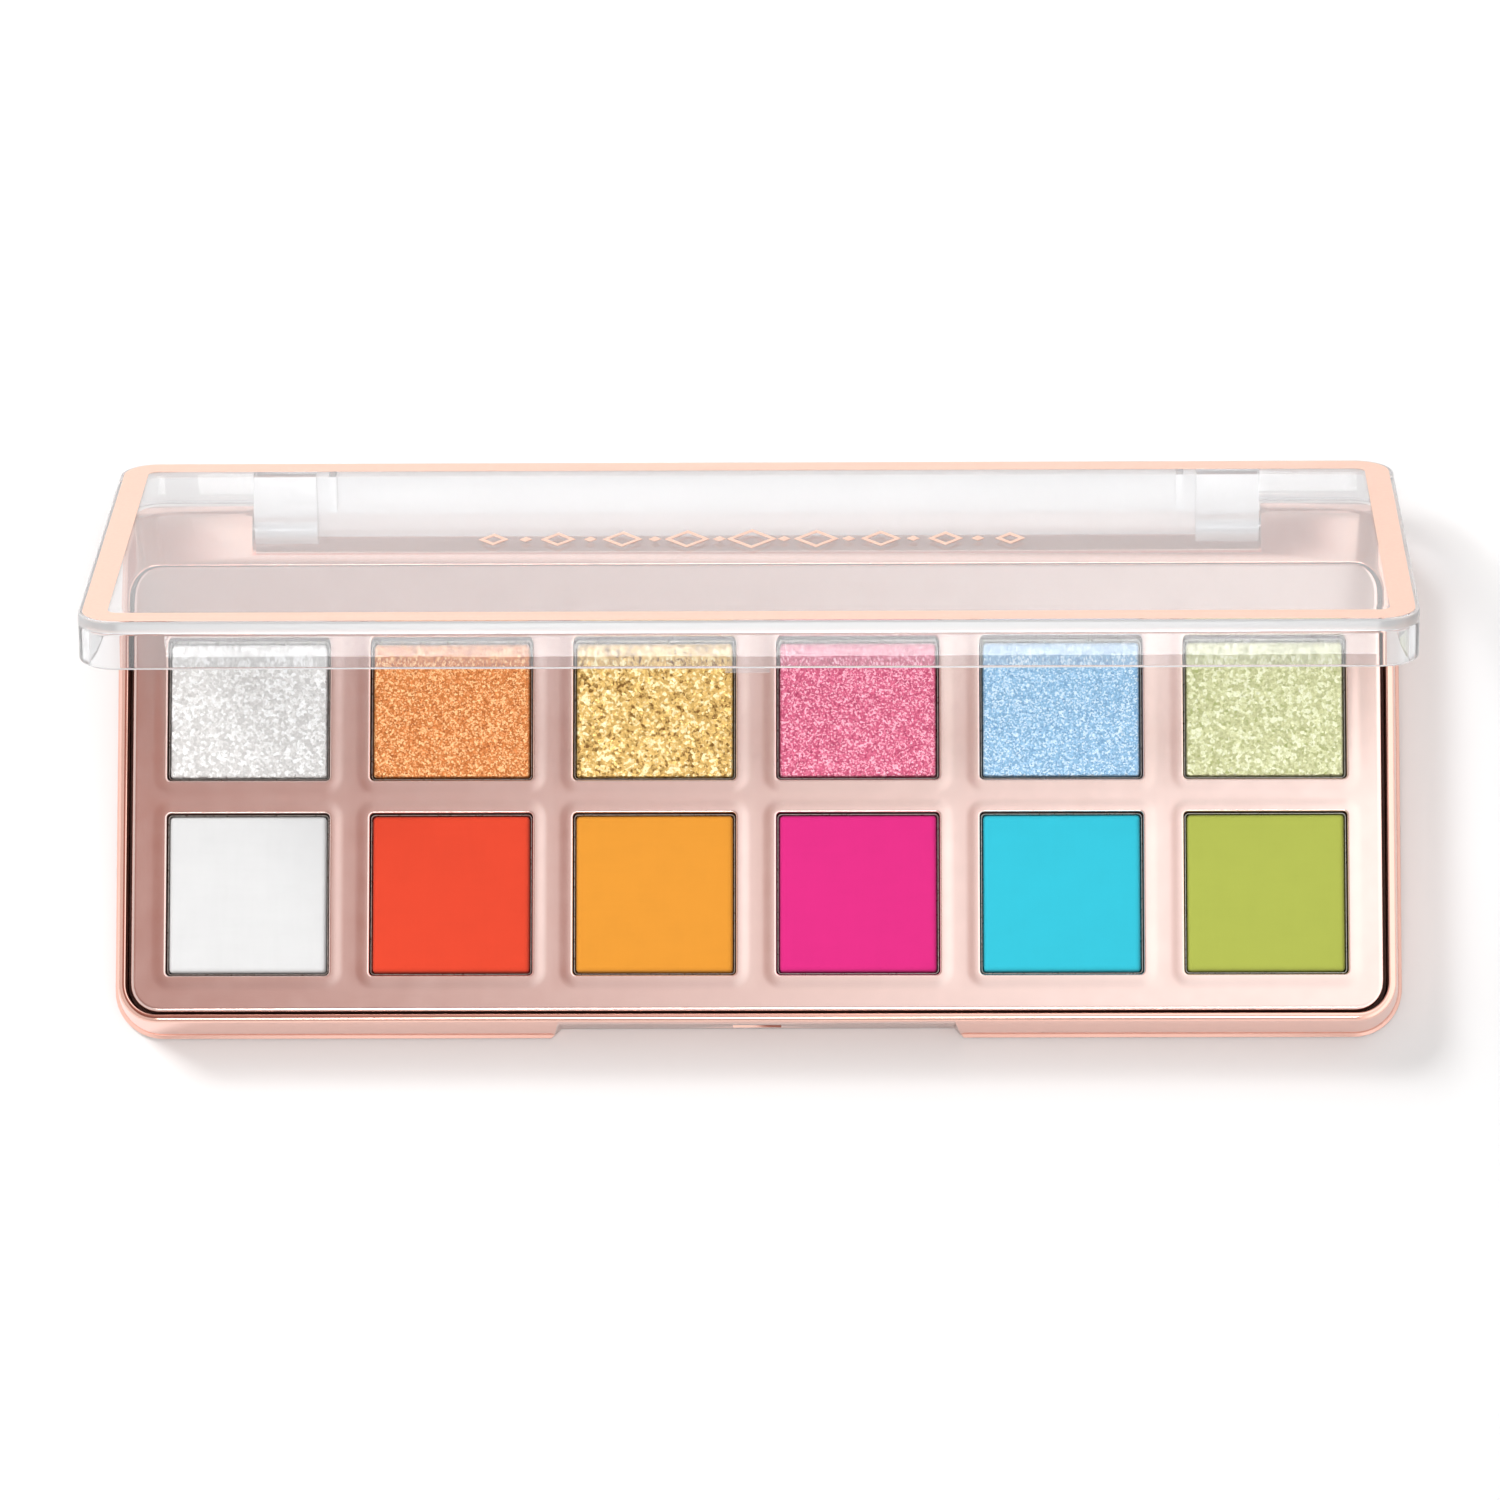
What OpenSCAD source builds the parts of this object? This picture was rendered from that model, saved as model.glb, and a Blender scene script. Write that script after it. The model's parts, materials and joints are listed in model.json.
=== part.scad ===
// Eyeshadow palette: rose-gold tray with twelve pressed powders under a hinged clear lid.
// The tray stands on z = 0 and its front faces -Y. The origin is on the table plane, under the
// middle of the case's outline at the parting line.

/* [Case] */
// Width of the case at the parting line
case_w = 148.4; // [140:0.2:180]
// Depth of the case at the parting line
case_d = 60; // [57:0.2:75]
// Height of the tray, from the table to the parting line
tray_h = 10; // [9.5:0.1:14]
// Height of the closed lid above the parting line
lid_h = 5.6; // [4.5:0.1:8]
// Corner radius of the case in plan
corner_r = 4.5; // [3.5:0.1:7]
// How far the foot stands out past the rim at the front and the sides
foot_flare = 1.15; // [0.4:0.05:1.6]
// Small round along the bottom edge of the foot
foot_round = 0.7; // [0.3:0.1:1]

/* [Tray] */
// Width of the rim's flat top
rim_w = 0.9; // [0.8:0.05:1.2]
// Groove between the rim and the deck
deck_groove = 0.75; // [0.7:0.05:1.2]
// Thickness of the tray's floor
floor_t = 1.4; // [1:0.1:2]
// Width of the thumb notch in the front
notch_w = 46; // [20:1:70]
// Width of the small pocket low in the thumb notch
pocket_w = 5.6; // [4:0.2:9]
// Height of the pocket
pocket_h = 3.2; // [2:0.1:4]
// Height of the pocket's lower edge above the table
pocket_z = 1.5; // [1.2:0.1:2.5]
// Depth of the pocket
pocket_t = 0.35; // [0.2:0.05:0.4]

/* [Deck] */
// Depth of the hinge strip behind the deck
hinge_strip_d = 7.5; // [7.3:0.1:9]
// How far the deck's raised lips stand above the tray's rim
lip_rise = 0.3; // [0.1:0.05:0.6]
// Height of the raised lip above the deck's web
lip_h = 0.35; // [0.2:0.05:0.6]
// Width of the raised lip round each opening
lip_w = 1.4; // [0.8:0.1:1.8]
// Thickness of the deck's web
web_t = 1.1; // [0.8:0.1:1.5]
// Wall of the wells, floor included
well_wall = 0.9; // [0.6:0.1:1]
// Running gap round the deck's flange
flange_gap = 0.1; // [0.05:0.05:0.3]

/* [Pans] */
// Width of each square opening
opening_w = 19; // [15:0.2:19.4]
// Number of pans in a row
columns = 6; // [3:1:6]
// Distance from one pan to the next in a row
column_pitch = 23.66; // [22.4:0.02:24.4]
// Distance from the bottom row to the top row
row_pitch = 22.8; // [22:0.1:23.6]
// From the deck's front edge to the bottom row's openings
front_margin = 3.7; // [3:0.1:4.2]
// Gap between a pan and its opening
pan_gap = 0.12; // [0.08:0.02:0.3]
// Height of a pan
pan_h = 3.7; // [3:0.1:4.2]
// Thickness of the tinplate
pan_t = 0.3; // [0.2:0.05:0.4]
// Corner radius of a pan
pan_r = 0.7; // [0.5:0.1:1.5]
// How far the powder stays below the pan's edge
powder_drop = 0.15; // [0.1:0.05:0.4]
// How far the pan's edge stays below the lip
pan_drop = 0.4; // [0.2:0.05:0.6]
// Thickness of the glue under a pan
glue_t = 0.25; // [0.15:0.05:0.4]
// Radius of a dab of glue
glue_r = 3.2; // [2:0.1:5]

/* [Lid] */
// Thickness of the lid's side walls
lid_wall = 1.2; // [1:0.05:1.25]
// Thickness of the lid's plate
plate_t = 1.3; // [1:0.1:1.8]
// Slope taken off the lid's top edge
lid_edge = 0.5; // [0.3:0.1:0.8]
// Width of the printed border
border_w = 2.8; // [1.5:0.1:4]
// Thickness of the print
print_t = 0.06; // [0.04:0.01:0.1]
// Width of the printed ornament
ornament_w = 66; // [50:1:90]
// Depth of the printed ornament
ornament_d = 7; // [5:0.2:9]
// Width of the ornament's lines
ornament_line = 0.8; // [0.5:0.1:1]
// Width of the snap tab under the lid's front wall
tab_w = 5; // [3:0.2:9]
// Thickness of the snap tab
tab_t = 0.5; // [0.4:0.05:0.55]
// Length of the snap tab below the parting line
tab_l = 0.7; // [0.5:0.1:0.8]
// Angle the lid stands open
open_angle = 64; // [0:1:105]

/* [Hinge] */
// Pin axis, in from the back of the case
pin_in = 2.5; // [2.4:0.05:2.7]
// Pin axis, below the parting line
pin_down = 2.4; // [2.4:0.05:2.6]
// Diameter of a hinge pin
pin_d = 1.5; // [1.2:0.1:1.8]
// Length of a hinge pin
pin_l = 13.6; // [12:0.2:16]
// Radial running gap between a pin and its lug
pin_gap = 0.05; // [0.03:0.01:0.1]
// Outer radius of a hinge lug
lug_r = 2; // [1.7:0.05:2.2]
// Width of a hinge lug
lug_w = 7.3; // [6:0.1:9]
// Distance from the middle of the case to the middle of a lug
lug_x = 55; // [45:0.5:57]
// Side gap between a lug and the end of the trough
lug_gap = 0.25; // [0.2:0.05:0.5]
// Radial room left round whatever turns on the pins
swing_gap = 0.2; // [0.15:0.05:0.25]
// Gap between the tray's barrels and the lid's lower edge, which rolls over them
barrel_gap = 0.1; // [0.05:0.05:0.2]
// How far the curtain between the lugs hangs below the pin axis
curtain_drop = 1.6; // [1:0.1:1.8]
// Thickness of the stiffening rib beside each lug
rib_t = 0.9; // [0.7:0.1:1.2]
// Distance from a lug to its rib
rib_gap = 1.5; // [1:0.1:3]

/* [Label] */
// Width of the label underneath
label_w = 60; // [40:1:80]
// Depth of the label
label_d = 24; // [16:1:24]
// From the middle of the case back to the middle of the label
label_back = 14.6; // [14:0.2:15]
// Depth of the label's recess
label_recess = 0.3; // [0.2:0.05:0.4]
// Corner radius of the label
label_r = 1.5; // [0.5:0.1:3]
// Border of the recess left clear round the label
label_margin = 0.4; // [0.2:0.1:0.5]
// Thickness of the label
label_t = 0.1; // [0.08:0.01:0.15]

/* [Hidden] */
$fn = 48;
// A sliver that makes a cut run clear of the face it starts from
past = 0.5;
// How far anything joined to a lid wall reaches into it
wall_bite = lid_wall / 2;
// A corner radius never gets smaller than this
least_r = 0.8;
// Lozenges in the ornament on each side of the middle one
ornament_side = 4;
// How much smaller each lozenge is than its neighbour towards the middle
ornament_taper = 0.1;
// A lozenge's width as a share of its depth
ornament_slim = 0.8;
// The small lozenges' width and depth as shares of the ornament's depth
spark_w = 0.2;
spark_d = 0.25;
// Thickness of the slabs that a tapered shell is drawn over
slab_t = 0.02;
hull_fn = 32;

rose = [0.91, 0.77, 0.72];
deck_rose = [0.93, 0.80, 0.76];
tin = [0.80, 0.79, 0.77];
clear = [0.93, 0.95, 0.97, 0.35];
peach = [0.98, 0.82, 0.74];
shimmers = [
    [0.90, 0.89, 0.88], [0.91, 0.55, 0.28], [0.83, 0.68, 0.33],
    [0.90, 0.42, 0.56], [0.58, 0.76, 0.92], [0.80, 0.85, 0.56]
];
mattes = [
    [0.93, 0.93, 0.93], [0.92, 0.28, 0.16], [0.95, 0.63, 0.20],
    [0.92, 0.12, 0.52], [0.20, 0.76, 0.87], [0.64, 0.74, 0.20]
];

front_y = -case_d / 2;
back_y = case_d / 2;
pin_y = back_y - pin_in;
pin_z = tray_h - pin_down;
pin_r = pin_d / 2;
// The lid's back corner, the farthest thing that swings round the pins
swing_r = sqrt(pow(pin_in, 2) + pow(pin_down, 2));
trough_r = swing_r + swing_gap;
trough_half = lug_x + lug_w / 2 + lug_gap;
// How far each pin sits in the tray's barrel
pin_hold = pin_l - lug_w - lug_gap;
// The barrel is as thick as the lid's back wall and its side walls' lower edges leave room for
barrel_r = min(pin_in, pin_down - barrel_gap, sqrt(pow(pin_in - lid_wall, 2) + pow(pin_down, 2)) - swing_gap);

cavity_half = case_w / 2 - rim_w;
cavity_front = front_y + rim_w;
deck_back = back_y - hinge_strip_d;
cavity_back = deck_back + flange_gap;
cavity_r = corner_r - rim_w;
deck_half = cavity_half - deck_groove;
deck_front = cavity_front + deck_groove;
deck_r = cavity_r - deck_groove;
lip_z = tray_h + lip_rise;
web_z = lip_z - lip_h;
flange_z = web_z - web_t;

pan_w = opening_w - 2 * pan_gap;
pan_top_z = lip_z - pan_drop;
pan_z = pan_top_z - pan_h;
well_floor_z = pan_z - glue_t;
powder_top_z = pan_top_z - powder_drop;
bottom_row_y = deck_front + front_margin + opening_w / 2;
top_row_y = bottom_row_y + row_pitch;
function column_x(i) = (i - (columns - 1) / 2) * column_pitch;

lid_top_z = tray_h + lid_h;
lid_cavity_h = lid_h - plate_t;
// The snap tab stands in the middle of the groove
tab_y = cavity_front + (deck_groove - tab_t) / 2;
lid_face_r = corner_r - lid_edge;

// A rectangle with round corners, given by its two opposite corners
module rounded(x0, y0, x1, y1, r) {
    translate([x0 + r, y0]) square([x1 - x0 - 2 * r, y1 - y0]);
    translate([x0, y0 + r]) square([x1 - x0, y1 - y0 - 2 * r]);
    for (x = [x0 + r, x1 - r], y = [y0 + r, y1 - r]) translate([x, y]) circle(r = r);
}

// A centred rounded square
module rounded_square(w, r) {
    rounded(-w / 2, -w / 2, w / 2, w / 2, r);
}

// A thin slab of the case's outline, grown by out at the front and the sides
module case_slab(z, out) {
    translate([0, 0, z]) linear_extrude(slab_t)
        rounded(-case_w / 2 - out, front_y - out, case_w / 2 + out, back_y, corner_r + out, $fn = hull_fn);
}

// A cylinder along X about the pin axis
module about_pin(x0, x1, r) {
    translate([x0, pin_y, pin_z]) rotate([0, 90, 0]) cylinder(h = x1 - x0, r = r);
}

// A block in the hinge zone, placed from the pin axis: s runs backwards, u upwards
module pin_block(x0, x1, s0, s1, u0, u1) {
    translate([x0, pin_y + s0, pin_z + u0]) cube([x1 - x0, s1 - s0, u1 - u0]);
}

// Outside of the tray, with a flared foot at the front and the sides
module tray_outside() {
    hull() {
        case_slab(0, foot_flare - foot_round);
        case_slab(foot_round, foot_flare);
        case_slab(tray_h - slab_t, 0);
    }
}

// Everything behind the pins above the height that the open lid dips to
module lid_sweep() {
    pin_block(-case_w, case_w, 0, 2 * pin_in, -trough_r, pin_down + past);
}

// Open trough that the lugs and the curtain turn in
module hinge_trough() {
    about_pin(-trough_half, trough_half, trough_r);
    pin_block(-trough_half, trough_half, -trough_r, 2 * pin_in, 0, pin_down + past);
    pin_block(-trough_half, trough_half, 0, 2 * pin_in, -trough_r, pin_down + past);
}

// The tray's barrel, one on each side of the trough, that holds the pins
module barrels() {
    for (side = [-1, 1])
        intersection() {
            tray_outside();
            union() {
                about_pin(side > 0 ? trough_half : -case_w, side > 0 ? case_w : -trough_half, barrel_r);
                pin_block(side > 0 ? trough_half : -case_w, side > 0 ? case_w : -trough_half,
                    -past, 0, -trough_r, pin_down + past);
            }
        }
}

// Thumb notch: the foot is cut back to the rim's plane, with sloping ends
module thumb_notch() {
    depth = foot_flare + past;
    translate([0, front_y, -past]) linear_extrude(tray_h + 2 * past)
        polygon([
            [-notch_w / 2, 0], [-notch_w / 2 - depth, -depth],
            [notch_w / 2 + depth, -depth], [notch_w / 2, 0]
        ]);
}

module base_shell() {
    color(rose) difference() {
        union() {
            difference() {
                tray_outside();
                lid_sweep();
            }
            barrels();
        }
        translate([0, 0, floor_t]) linear_extrude(tray_h)
            rounded(-cavity_half, cavity_front, cavity_half, cavity_back, cavity_r);
        hinge_trough();
        thumb_notch();
        translate([-pocket_w / 2, front_y - past, pocket_z]) cube([pocket_w, pocket_t + past, pocket_h]);
        for (side = [-1, 1]) about_pin(
            side > 0 ? trough_half - past : -trough_half - pin_hold,
            side > 0 ? trough_half + pin_hold : -trough_half + past, pin_r);
        translate([0, 0, -past]) linear_extrude(past + label_recess) label_outline(label_margin);
    }
}

// One well, closed at the bottom, whose opening is cut later
module well_block(x, y) {
    w = opening_w + 2 * well_wall;
    translate([x - w / 2, y - w / 2, well_floor_z - well_wall]) cube([w, w, web_z - well_floor_z + well_wall]);
}

module deck_lip(x, y) {
    w = opening_w + 2 * lip_w;
    translate([x, y, web_z]) linear_extrude(lip_h) rounded_square(w, pan_r + lip_w);
}

module well_cut(x, y) {
    translate([x, y, well_floor_z]) linear_extrude(lip_z) rounded_square(opening_w, pan_r);
}

module pan_deck() {
    flange_half = cavity_half - flange_gap;
    skirt_t = well_wall;
    color(deck_rose) difference() {
        union() {
            translate([0, 0, flange_z]) linear_extrude(web_t)
                rounded(-deck_half, deck_front, deck_half, deck_back, deck_r);
            translate([0, 0, floor_t]) linear_extrude(flange_z - floor_t)
                rounded(-flange_half, cavity_front + flange_gap, flange_half, deck_back, cavity_r - flange_gap);
            for (i = [0:columns - 1], y = [bottom_row_y, top_row_y]) deck_lip(column_x(i), y);
        }
        difference() {
            translate([0, 0, floor_t - past]) linear_extrude(flange_z - floor_t + past - web_t)
                rounded(-flange_half + skirt_t, cavity_front + flange_gap + skirt_t,
                    flange_half - skirt_t, deck_back - skirt_t, cavity_r - flange_gap - skirt_t);
            for (i = [0:columns - 1], y = [bottom_row_y, top_row_y]) well_block(column_x(i), y);
        }
        for (i = [0:columns - 1], y = [bottom_row_y, top_row_y]) well_cut(column_x(i), y);
    }
}

module pan(x, y) {
    color(tin) difference() {
        translate([x, y, pan_z]) linear_extrude(pan_h) rounded_square(pan_w, pan_r);
        translate([x, y, pan_z + pan_t]) linear_extrude(pan_h) rounded_square(pan_w - 2 * pan_t, pan_r - pan_t);
    }
}

module powder(x, y, tint) {
    color(tint) translate([x, y, pan_z + pan_t]) linear_extrude(powder_top_z - pan_z - pan_t)
        rounded_square(pan_w - 2 * pan_t, pan_r - pan_t);
}

// The pieces of column number, if the row has that many columns
module pan_at(number, y) {
    if (number <= columns) pan(column_x(number - 1), y);
}

module powder_at(number, y, tints) {
    if (number <= columns) powder(column_x(number - 1), y, tints[number - 1]);
}

module pan_glue() {
    color("ivory") for (i = [0:columns - 1], y = [bottom_row_y, top_row_y])
        translate([column_x(i), y, well_floor_z]) cylinder(h = glue_t, r = glue_r);
}

// A pin runs from the inner face of its lug into the tray's barrel
module hinge_pin(side) {
    inner = lug_x - lug_w / 2;
    color("silver") about_pin(side > 0 ? inner : -inner - pin_l, side > 0 ? inner + pin_l : -inner, pin_r);
}

// The label's outline, grown by out
module label_outline(out) {
    rounded(-label_w / 2 - out, label_back - label_d / 2 - out,
        label_w / 2 + out, label_back + label_d / 2 + out, label_r + out);
}

module base_label() {
    color("whitesmoke") translate([0, 0, label_recess - label_t]) linear_extrude(label_t) label_outline(0);
}

// Turns a closed lid to the angle it stands at
module opened() {
    translate([0, pin_y, pin_z]) rotate([-open_angle, 0, 0]) translate([0, -pin_y, -pin_z]) children();
}

module lid_face_outline(inset) {
    rounded(-case_w / 2 + lid_edge + inset, front_y + lid_edge + inset,
        case_w / 2 - lid_edge - inset, back_y - lid_edge - inset, max(lid_face_r - inset, least_r));
}

module lid_outside() {
    hull() {
        translate([0, 0, tray_h]) linear_extrude(lid_h - lid_edge)
            rounded(-case_w / 2, front_y, case_w / 2, back_y, corner_r, $fn = hull_fn);
        translate([0, 0, lid_top_z - slab_t]) linear_extrude(slab_t) lid_face_outline(0, $fn = hull_fn);
    }
}

// A lug, from the lid's plate down to its round end on the pin
module lug(side) {
    x0 = side * lug_x - lug_w / 2;
    about_pin(x0, x0 + lug_w, lug_r);
    pin_block(x0, x0 + lug_w, -lug_r, pin_in, 0, pin_down + lid_cavity_h + past);
}

module lid_rib(side) {
    inner = lug_x - lug_w / 2 - rib_gap;
    pin_block(side > 0 ? inner - rib_t : -inner, side > 0 ? inner : -inner + rib_t,
        -lug_r, pin_in, pin_down, pin_down + lid_cavity_h + past);
}

// A short tab that hangs from the lid's front wall into the groove round the deck
module snap_tab() {
    translate([-tab_w / 2, tab_y, tray_h - tab_l]) cube([tab_w, tab_t, tab_l + past]);
    translate([-tab_w / 2, front_y + wall_bite, tray_h])
        cube([tab_w, tab_y + tab_t - front_y - wall_bite, past]);
}

module lid_shell() {
    color(clear) opened() difference() {
        union() {
            difference() {
                lid_outside();
                translate([0, 0, tray_h - past]) linear_extrude(lid_cavity_h + past)
                    rounded(-case_w / 2 + lid_wall, front_y + lid_wall,
                        case_w / 2 - lid_wall, back_y - lid_wall, corner_r - lid_wall);
            }
            for (side = [-1, 1]) {
                lug(side);
                lid_rib(side);
            }
            pin_block(-lug_x, lug_x, pin_in - lid_wall, pin_in, -curtain_drop, pin_down + past);
            snap_tab();
        }
        for (side = [-1, 1]) about_pin(
            side * lug_x - lug_w / 2 - past, side * lug_x + lug_w / 2 + past, pin_r + pin_gap);
    }
}

module lid_border_print() {
    color(peach) opened() translate([0, 0, lid_top_z]) linear_extrude(print_t) difference() {
        lid_face_outline(0);
        lid_face_outline(border_w);
    }
}

// A flat lozenge
module lozenge(x, w, d) {
    translate([x, 0]) polygon([[-w / 2, 0], [0, -d / 2], [w / 2, 0], [0, d / 2]]);
}

// A generic ornament: a row of hollow lozenges with small solid ones between them
module ornament() {
    step = ornament_w / (2 * ornament_side + 1);
    for (i = [-ornament_side:ornament_side]) {
        size = ornament_d * (1 - ornament_taper * abs(i));
        inner = size - 2 * ornament_line;
        difference() {
            lozenge(i * step, ornament_slim * size, size);
            lozenge(i * step, ornament_slim * inner, inner);
        }
    }
    for (i = [-ornament_side:ornament_side - 1])
        lozenge((i + 1 / 2) * step, spark_w * ornament_d, spark_d * ornament_d);
}

module lid_ornament_print() {
    color(peach) opened() translate([0, 0, lid_top_z]) linear_extrude(print_t) ornament();
}

base_shell();
pan_deck();
pan_at(1, top_row_y);  // pan_top_1
pan_at(2, top_row_y);  // pan_top_2
pan_at(3, top_row_y);  // pan_top_3
pan_at(4, top_row_y);  // pan_top_4
pan_at(5, top_row_y);  // pan_top_5
pan_at(6, top_row_y);  // pan_top_6
pan_at(1, bottom_row_y);  // pan_bottom_1
pan_at(2, bottom_row_y);  // pan_bottom_2
pan_at(3, bottom_row_y);  // pan_bottom_3
pan_at(4, bottom_row_y);  // pan_bottom_4
pan_at(5, bottom_row_y);  // pan_bottom_5
pan_at(6, bottom_row_y);  // pan_bottom_6
powder_at(1, top_row_y, shimmers);  // powder_top_1
powder_at(2, top_row_y, shimmers);  // powder_top_2
powder_at(3, top_row_y, shimmers);  // powder_top_3
powder_at(4, top_row_y, shimmers);  // powder_top_4
powder_at(5, top_row_y, shimmers);  // powder_top_5
powder_at(6, top_row_y, shimmers);  // powder_top_6
powder_at(1, bottom_row_y, mattes);  // powder_bottom_1
powder_at(2, bottom_row_y, mattes);  // powder_bottom_2
powder_at(3, bottom_row_y, mattes);  // powder_bottom_3
powder_at(4, bottom_row_y, mattes);  // powder_bottom_4
powder_at(5, bottom_row_y, mattes);  // powder_bottom_5
powder_at(6, bottom_row_y, mattes);  // powder_bottom_6
pan_glue();
hinge_pin(-1);  // hinge_pin_left
hinge_pin(1);  // hinge_pin_right
base_label();
lid_shell();
lid_border_print();
lid_ornament_print();
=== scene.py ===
"""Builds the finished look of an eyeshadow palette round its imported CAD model."""

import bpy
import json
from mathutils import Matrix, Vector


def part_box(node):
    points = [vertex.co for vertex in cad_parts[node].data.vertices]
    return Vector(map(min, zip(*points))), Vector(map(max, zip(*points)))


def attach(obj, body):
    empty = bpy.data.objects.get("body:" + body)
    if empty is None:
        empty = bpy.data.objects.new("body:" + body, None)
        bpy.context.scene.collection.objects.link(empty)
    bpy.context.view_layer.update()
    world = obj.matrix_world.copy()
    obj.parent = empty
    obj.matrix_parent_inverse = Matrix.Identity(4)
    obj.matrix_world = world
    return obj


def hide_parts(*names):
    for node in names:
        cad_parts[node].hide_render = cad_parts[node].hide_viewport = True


bl_info = {
    "name": "Eyeshadow palette",
    "version": (1, 0, 0),
    "blender": (4, 5, 0),
    "location": "View3D > Sidebar > Palette",
    "description": "Builds a rose-gold palette of pressed powders under a clear hinged lid",
    "category": "Add Mesh",
}

import json
import math

import bmesh
import bpy
from bpy.props import FloatProperty, FloatVectorProperty, IntProperty, PointerProperty
from mathutils import Matrix, Vector, noise

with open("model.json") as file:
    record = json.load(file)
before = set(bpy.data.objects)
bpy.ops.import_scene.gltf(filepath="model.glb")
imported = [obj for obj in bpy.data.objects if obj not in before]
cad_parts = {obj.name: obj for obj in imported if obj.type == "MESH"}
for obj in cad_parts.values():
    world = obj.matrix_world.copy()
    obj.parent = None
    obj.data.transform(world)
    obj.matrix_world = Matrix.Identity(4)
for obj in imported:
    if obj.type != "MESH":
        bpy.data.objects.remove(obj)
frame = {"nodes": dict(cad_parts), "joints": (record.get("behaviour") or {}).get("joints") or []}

MM = 0.001
COLUMNS = range(1, 7)
ROWS = ("top", "bottom")
HINGE = frame["joints"][0]
PIN = Vector(HINGE["pos_m"])
OPEN_ANGLE = math.radians(-HINGE["range_deg"][0])
# Takes a point of the closed lid to where the lid stands at rest
OPENED = Matrix.Translation(PIN) @ Matrix.Rotation(-OPEN_ANGLE, 4, "X") @ Matrix.Translation(-PIN)


def linear(red, green, blue):
    """A colour as a designer writes it, from 0 to 255, in the linear values that shaders use."""
    def decode(value):
        share = value / 255
        return share / 12.92 if share <= 0.04045 else ((share + 0.055) / 1.055) ** 2.4
    return (decode(red), decode(green), decode(blue))


def closed_box(name):
    """Lowest and highest corners of a lid node with the lid shut."""
    back = OPENED.inverted()
    points = [back @ vertex.co for vertex in frame["nodes"][name].data.vertices]
    low = Vector([min(point[axis] for point in points) for axis in range(3)])
    high = Vector([max(point[axis] for point in points) for axis in range(3)])
    return low, high


BASE_HIGH = Vector(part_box("base_shell")[1])
DECK_LOW, DECK_HIGH = (Vector(corner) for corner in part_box("pan_deck"))
LID_LOW, LID_HIGH = closed_box("lid_shell")
CASE_HALF = LID_HIGH.x
CASE_FRONT = LID_LOW.y
CASE_BACK = LID_HIGH.y
TRAY_TOP = BASE_HIGH.z
FOOT_FLARE = BASE_HIGH.x - LID_HIGH.x
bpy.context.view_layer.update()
# Room between the deck and the tray's walls, and between a pan and its opening
DECK_GAP = 0.1 * MM
WELL_GAP = 0.12 * MM
# How far from its corners extra points hold the sides of an opening in the deck straight
WELL_HOLDS = tuple(hold * MM for hold in (0.4, 0.9, 1.5, 2.2, 3.0, 4.0))


# ---------------------------------------------------------------- properties

def length(name, description, default):
    """A size in metres that a user can change."""
    return FloatProperty(
        name=name, description=description, default=default, min=0.0, unit="LENGTH", precision=5)


def number(name, description, default):
    """A plain number that a user can change."""
    return FloatProperty(name=name, description=description, default=default)


def colour(name, description, default):
    """A linear colour that a user can change."""
    return FloatVectorProperty(
        name=name, description=description, default=default, subtype="COLOR", min=0, max=1)


class PaletteCase(bpy.types.PropertyGroup):
    """Sizes and colours of the tray and its deck."""
    corner: length("Corner", "Corner radius of the case in plan", 4.5 * MM)
    rim: length("Rim", "Width of the rim's flat top", 0.9 * MM)
    rim_round: length("Rim round", "Round along the rim's outer edge", 0.65 * MM)
    inner_round: length("Inner round", "Round along the rim's inner edge", 0.14 * MM)
    foot: length("Foot", "Height of the foot's upright edge", 0.7 * MM)
    bead: length("Foot bead", "Slope above the foot's upright edge", 0.38 * MM)
    floor: length("Floor", "Thickness of the tray's floor", 1.4 * MM)
    edge: length("Edge", "Small round on moulded edges", 0.1 * MM)
    notch: length("Thumb notch", "Width of the thumb notch", 46 * MM)
    swing: length("Swing gap", "Room left round the lid's swinging corner", 0.2 * MM)
    groove: length("Groove", "Gap between the rim and the deck in front", 0.28 * MM)
    side_groove: length("Side groove", "Gap between the rim and the deck at the sides", 0.6 * MM)
    deck_round: length("Deck round", "Round along the deck's outer edge", 0.42 * MM)
    lip: length("Lip", "Width of the flat on top of each raised lip", 0.1 * MM)
    slope: length("Lip slope", "Width over which a lip falls to the web", 1.5 * MM)
    lip_height: length("Lip height", "Height of a lip above the web", 0.042 * MM)
    groove_depth: length("Groove depth", "Depth of the groove round the deck", 3.5 * MM)
    # Painted shade: the deck's faces below this depth are dark brown, which stands in for the shade in the
    # groove round the deck and in the gaps round the pans.
    shade_depth: length("Painted shade depth", "How far down the deck's walls the metal reaches", 0.5 * MM)
    rose: colour("Rose gold", "Colour of the metallised tray", linear(247, 197, 181))
    deck_rose: colour("Deck rose gold", "Colour of the metallised deck", (0.92, 0.68, 0.62))


class PalettePowders(bpy.types.PropertyGroup):
    """Sizes and grain of the pans and their powders."""
    pan_corner: length("Pan corner", "Corner radius of a pan", 0.5 * MM)
    tin: length("Tinplate", "Thickness of a pan's wall", 0.15 * MM)
    spill: length("Spill", "How far the powder covers its pan's edge", 0.02 * MM)
    sunk: length("Sunk", "How far a pan's edge lies below the powder", 0.45 * MM)
    edge: length("Edge", "Round along the powder's edge", 0.22 * MM)
    flake: length("Flake", "Size of a fine shimmer flake", 0.18 * MM)
    coarse_flake: length("Coarse flake", "Size of a coarse shimmer flake", 0.34 * MM)
    shimmer_cells: IntProperty(name="Shimmer cells", description="Cells across a shimmer", default=110)
    matte_cells: IntProperty(name="Matte cells", description="Cells across a matte", default=56)


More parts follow.
